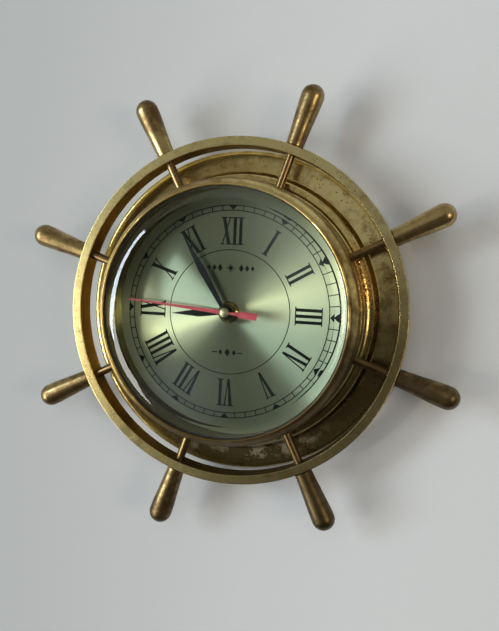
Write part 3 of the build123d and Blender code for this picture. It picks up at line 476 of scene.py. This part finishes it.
class Print:
    """A mesh of flat prisms on the dial's face, made from outlines in metres in the dial's plane."""

    def __init__(self):
        self.points = []
        self.faces = []

    def prism(self, outline):
        """Closed prism on an outline of (x, z) points, counterclockwise as seen from the front."""
        first, count = len(self.points), len(outline)
        for depth in (FACE, FACE + INK):
            self.points += [(x, -depth, z) for x, z in outline]
        self.faces.append([first + k for k in reversed(range(count))])
        self.faces.append([first + count + k for k in range(count)])
        for k in range(count):
            after = (k + 1) % count
            self.faces.append([first + k, first + after, first + count + after, first + count + k])

    def ring(self, inner, outer):
        """Flat ring between two radii in metres."""
        first = len(self.points)
        for radius, depth in ((inner, FACE), (outer, FACE), (outer, FACE + INK), (inner, FACE + INK)):
            for step in range(RING_STEPS):
                x, z = on_dial(radius, 360.0 * step / RING_STEPS)
                self.points.append((x, -depth, z))
        for side in range(4):
            for step in range(RING_STEPS):
                after = (step + 1) % RING_STEPS
                a, b = first + side * RING_STEPS, first + (side + 1) % 4 * RING_STEPS
                self.faces.append([b + step, b + after, a + after, a + step])

    def make(self, name, ink):
        mesh = bpy.data.meshes.new(name)
        mesh.from_pydata(self.points, [], self.faces)
        mesh.validate()
        mesh.update()
        mesh.materials.append(ink)
        made = bpy.data.objects.new(name, mesh)
        bpy.context.scene.collection.objects.link(made)
        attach(made, "clock")


def on_dial(radius, angle):
    """Point (x, z) of the dial's plane at a radius and a clock angle."""
    turn = math.radians(angle)
    return (radius * math.sin(turn), radius * math.cos(turn))


def radial(angle, base, outline):
    """Moves an outline of (across, outward) points in mm to a clock angle, its foot at radius base."""
    out_x, out_z = on_dial(1.0, angle)
    return [
        ((out_z * u + out_x * (base + v)) * MM, (-out_x * u + out_z * (base + v)) * MM) for u, v in outline
    ]


def bar(left, right, low, high):
    return [(left, low), (right, low), (right, high), (left, high)]


def crossing(a, b, c, d):
    """Point where the line through a and b meets the line through c and d."""
    ab, cd = Vector(b) - Vector(a), Vector(d) - Vector(c)
    share = (Vector(c) - Vector(a)).cross(cd) / ab.cross(cd)
    return tuple(Vector(a) + ab * share)


def letter(name):
    """Outlines of a condensed Roman letter with thin serifs: thick down-strokes, thin up-strokes.

    They are in mm from the letter's lower left corner.
    """
    top, foot, width = LETTER_HEIGHT - SERIF, SERIF, LETTER_WIDTH[name]
    if name == "I":
        stem = bar(0.8, 2.6, foot, top)
        return [stem, bar(-0.1, 3.5, 0, foot), bar(-0.1, 3.5, top, LETTER_HEIGHT)]
    serifs = [bar(0, 3.5, top, LETTER_HEIGHT), bar(3.95, width, top, LETTER_HEIGHT)]
    if name == "V":
        thick = [(0.8, top), (2.6, 0), (3.9, 0), (2.7, top)]
        low = crossing(thick[2], thick[3], (3.3, 0), (4.7, top))
        thin = [low, thick[2], (5.5, top), (4.7, top)]
        return [thick, thin] + serifs
    # the X's thin stroke is cut in two where its thick stroke crosses it
    thick = [(3.7, foot), (5.7, foot), (2.8, top), (0.8, top)]
    lower = [(0.8, foot), (1.5, foot)]
    upper = [(5.5, top), (4.8, top)]
    edges = list(zip(lower, upper[::-1]))
    left_foot, right_foot = [crossing(thick[0], thick[3], a, b) for a, b in edges]
    left_head, right_head = [crossing(thick[1], thick[2], a, b) for a, b in edges]
    thin = [
        [lower[0], lower[1], right_foot, left_foot],
        [left_head, right_head, upper[0], upper[1]],
    ]
    serifs += [bar(0, 2.3, 0, foot), bar(3.0, width, 0, foot)]
    return [thick] + thin + serifs


def print_numerals(ink):
    for hour, text in enumerate(NUMERALS):
        sheet = Print()
        across = -sum(LETTER_WIDTH[name] for name in text) / 2
        for name in text:
            for outline in letter(name):
                moved = [(u + across, v) for u, v in outline]
                sheet.prism(radial(hour * HOUR, NUMERAL_FOOT, moved))
            across += LETTER_WIDTH[name]
        sheet.make(f"numeral_{hour or 12}", ink)


def print_tracks(ink):
    """Minute track of two circles and its lines, twelve triangles on it, and the inner circle."""
    inside, outside = TRACK_INNER + TRACK_LINE, TRACK_OUTER - TRACK_LINE
    track = Print()
    track.ring(TRACK_INNER * MM, inside * MM)
    track.ring(outside * MM, TRACK_OUTER * MM)
    tick = bar(-TRACK_LINE / 2, TRACK_LINE / 2, inside, outside)
    for minute in range(60):
        if minute % 5:
            track.prism(radial(minute * MINUTE, 0.0, tick))
    track.make("minute_track", ink)
    marks = Print()
    triangle = [(0, inside), (TRIANGLE_HALF_WIDTH, outside), (-TRIANGLE_HALF_WIDTH, outside)]
    for hour in range(12):
        marks.prism(radial(hour * HOUR, 0.0, triangle))
    marks.make("hour_triangles", ink)
    circle = Print()
    circle.ring(CIRCLE_INNER * MM, CIRCLE_OUTER * MM)
    circle.make("inner_circle", ink)


def print_ornaments(ink):
    """A compass star between two rows of lozenges above the centre, a smaller figure below it."""
    star = Print()
    spread = 360 / STAR_POINTS
    for point in range(STAR_POINTS):
        tip = on_dial(STAR_SHORT if point % 2 else STAR_LONG, point * spread)
        right, left = [on_dial(STAR_WAIST, (point + side) * spread) for side in (0.5, -0.5)]
        star.prism(radial(0, STAR_UP, [(0, 0), right, tip, left]))
    star.make("compass_star", ink)
    rules = Print()

    def lozenge(angle, base, across, half_width, half_height):
        corners = [(0, -half_height), (half_width, 0), (0, half_height), (-half_width, 0)]
        rules.prism(radial(angle, base, [(u + across, v) for u, v in corners]))

    for side in (-1, 1):
        for across, size in STAR_ROW:
            lozenge(0, STAR_UP, side * across, *[half * size for half in STAR_LOZENGE])
        lozenge(180, ROW_DOWN, side * ROW_SIDE_AT, *ROW_SIDE)
        start, end = sorted((side * RULE_START, side * RULE_END))
        rules.prism(radial(180, ROW_DOWN, bar(start, end, -RULE_HALF_HEIGHT, RULE_HALF_HEIGHT)))
    lozenge(180, ROW_DOWN, 0.0, *ROW_MIDDLE)
    rules.make("dial_rules", ink)


# --- stage, lights and camera -------------------------------------------------------
WALL_GAP = 0.4 * MM  # behind the flange
WALL_REACH = 2.5  # from the clock to each of its edges
WALL_PAINTED_SHADE = (-0.22, 0.12)  # X where the painted shade on the wall is deepest and where it ends

# name, azimuth, elevation, distance, width and height, watts, colour; in degrees and metres
LAMPS = (
    ("window_low", -55, -19, 3.0, (2.0, 1.0), 48, (1.0, 0.98, 0.93)),
    ("window_high", -55, 3.5, 3.0, (2.0, 0.52), 60, (0.80, 0.92, 1.0)),
    ("window_gap", -38, -9.4, 2.9, (0.2, 0.1), 4.5, (1.0, 0.88, 0.58)),
    ("window_near", -33, -3, 3.0, (0.52, 0.5), 3.0, (1.0, 0.96, 0.86)),
    ("fill", 5, 15, 2.5, (2.0, 2.0), 16, (0.90, 0.96, 1.0)),
    ("far_window", 50, -1, 1.8, (0.44, 0.6), 6.0, (1.0, 0.84, 0.60)),
    ("behind", 205, 25, 1.3, (1.0, 1.0), 14, (1.0, 1.0, 1.0)),
)

ROOM_LOW, ROOM_HIGH = rgb(0.075, 0.065, 0.05), rgb(0.34, 0.32, 0.27)
ROOM_STEP = (-0.04, 0.2)  # sines of the elevations between which the one turns into the other
# azimuth, elevation, radius where the patch is full and where it ends, all in degrees, and colour
ROOM_PATCHES = (
    (-16, -3, 8, 12, rgb(0.02, 0.02, 0.018)),
    (-8, 4, 2.5, 8, rgb(0.42, 0.43, 0.45)),
    (-19.5, -10, 1, 4.5, rgb(0.20, 0.22, 0.30)),
)
BACKDROP = rgb(0.56, 0.56, 0.55)

CAMERA_PLACE = Vector((114.9, -435.6, 21.9)) * MM
CAMERA_AIM = Vector((10.92, -27.0, -1.51)) * MM
CAMERA_ROLL = math.radians(2.579)
CAMERA_LENS, CAMERA_SENSOR = 42.29, 36.0  # mm
CAMERA_NEAR = 0.02  # nearest distance it shows


def wall_paint_and_shade():
    """Matt paint with a painted shade that darkens it towards the left; a viewer behind the wall looks
    through it.
    """
    made = Shader("wall_paint_and_shade", Roughness=0.9)
    grain = made.noise(160.0, 5.0, 0.6)
    # Painted shade: the wall's colour is darker towards the left.
    across = made.ramp(made.split(made.place)["X"], *WALL_PAINTED_SHADE)
    shaded_paint = made.blend(across, rgb(0.36, 0.37, 0.38), rgb(0.52, 0.53, 0.55))
    made.set("Base Color", made.blend(made.times(grain, 0.06), shaded_paint, rgb(0.2, 0.2, 0.2)))
    made.bump(grain, 0.3 * MM, 0.15)
    made.clear_where(made.add("ShaderNodeNewGeometry").outputs["Backfacing"])
    return made.material


def add_stage():
    """A plain wall that the clock hangs on. It casts no shadow, so the lamp behind it lights the back."""
    sides = ((-1, -1), (1, -1), (1, 1), (-1, 1))
    corners = [(across * WALL_REACH, WALL_GAP, up * WALL_REACH) for across, up in sides]
    mesh = bpy.data.meshes.new("wall")
    mesh.from_pydata(corners, [], [(0, 1, 2, 3)])
    mesh.materials.append(wall_paint_and_shade())
    wall = bpy.data.objects.new("wall", mesh)
    bpy.context.scene.collection.objects.link(wall)
    wall.visible_shadow = False


def towards(azimuth, elevation, distance):
    """Point at a distance from the clock; azimuth 0 is straight in front of it, positive to the right."""
    a, e = math.radians(azimuth), math.radians(elevation)
    return Vector((math.sin(a) * math.cos(e), -math.cos(a) * math.cos(e), math.sin(e))) * distance


def add_lights():
    """A wide window at the left, warmer in its lower part, a small one at the right, and a lamp behind.

    The fill only softens shadows, so metal and glass don't mirror it.
    """
    for name, azimuth, elevation, distance, size, watts, colour in LAMPS:
        data = bpy.data.lights.new(name, "AREA")
        data.shape = "RECTANGLE"
        data.size, data.size_y = size
        data.energy = watts
        data.color = colour
        lamp = bpy.data.objects.new(name, data)
        place = towards(azimuth, elevation, distance)
        lamp.location = place
        lamp.rotation_euler = (-place).to_track_quat("-Z", "Z").to_euler()
        lamp.visible_glossy = lamp.visible_transmission = name != "fill"
        bpy.context.scene.collection.objects.link(lamp)


def add_room():
    """Surroundings: darker low down, nearly black where the glass mirrors them, with two soft patches.

    Seen directly they are a plain pale backdrop.
    """
    world = bpy.data.worlds.new("room")
    bpy.context.scene.world = world
    world.use_nodes = True
    room = Nodes(world.node_tree)
    direction = room.add("ShaderNodeTexCoord").outputs["Generated"]
    colour = room.blend(room.ramp(room.split(direction)["Z"], *ROOM_STEP), ROOM_LOW, ROOM_HIGH)
    for azimuth, elevation, full, none, tint in ROOM_PATCHES:
        inputs = {0: direction, 1: towards(azimuth, elevation, 1.0)}
        along = room.add("ShaderNodeVectorMath", inputs, operation="DOT_PRODUCT").outputs["Value"]
        near = room.ramp(along, math.cos(math.radians(none)), math.cos(math.radians(full)))
        colour = room.blend(near, colour, tint)
    seen_directly = room.add("ShaderNodeLightPath").outputs["Is Camera Ray"]
    colour = room.blend(seen_directly, colour, BACKDROP)
    room.link(colour, world.node_tree.nodes["Background"].inputs["Color"])


def add_camera():
    """Stands right of the clock's axis and a little above it, level but for a slight roll."""
    data = bpy.data.cameras.new("camera")
    data.lens = CAMERA_LENS
    data.sensor_width = CAMERA_SENSOR
    data.clip_start = CAMERA_NEAR
    made = bpy.data.objects.new("camera", data)
    forward = (CAMERA_AIM - CAMERA_PLACE).normalized()
    right = forward.cross(Vector((0, 0, 1))).normalized()
    up = right.cross(forward)
    turned_right = right * math.cos(CAMERA_ROLL) + up * math.sin(CAMERA_ROLL)
    turned_up = up * math.cos(CAMERA_ROLL) - right * math.sin(CAMERA_ROLL)
    turn = Matrix((turned_right, turned_up, -forward)).transposed()
    made.matrix_world = Matrix.Translation(CAMERA_PLACE) @ turn.to_4x4()
    bpy.context.scene.collection.objects.link(made)
    bpy.context.scene.camera = made


# --- the whole scene ----------------------------------------------------------------
bpy.context.scene.view_settings.view_transform = "Standard"
dress_frame()

dial_ink = painted("dial_ink", *DIAL_INK)
print_numerals(dial_ink)
print_tracks(dial_ink)
print_ornaments(dial_ink)

add_stage()
add_lights()
add_room()
add_camera()
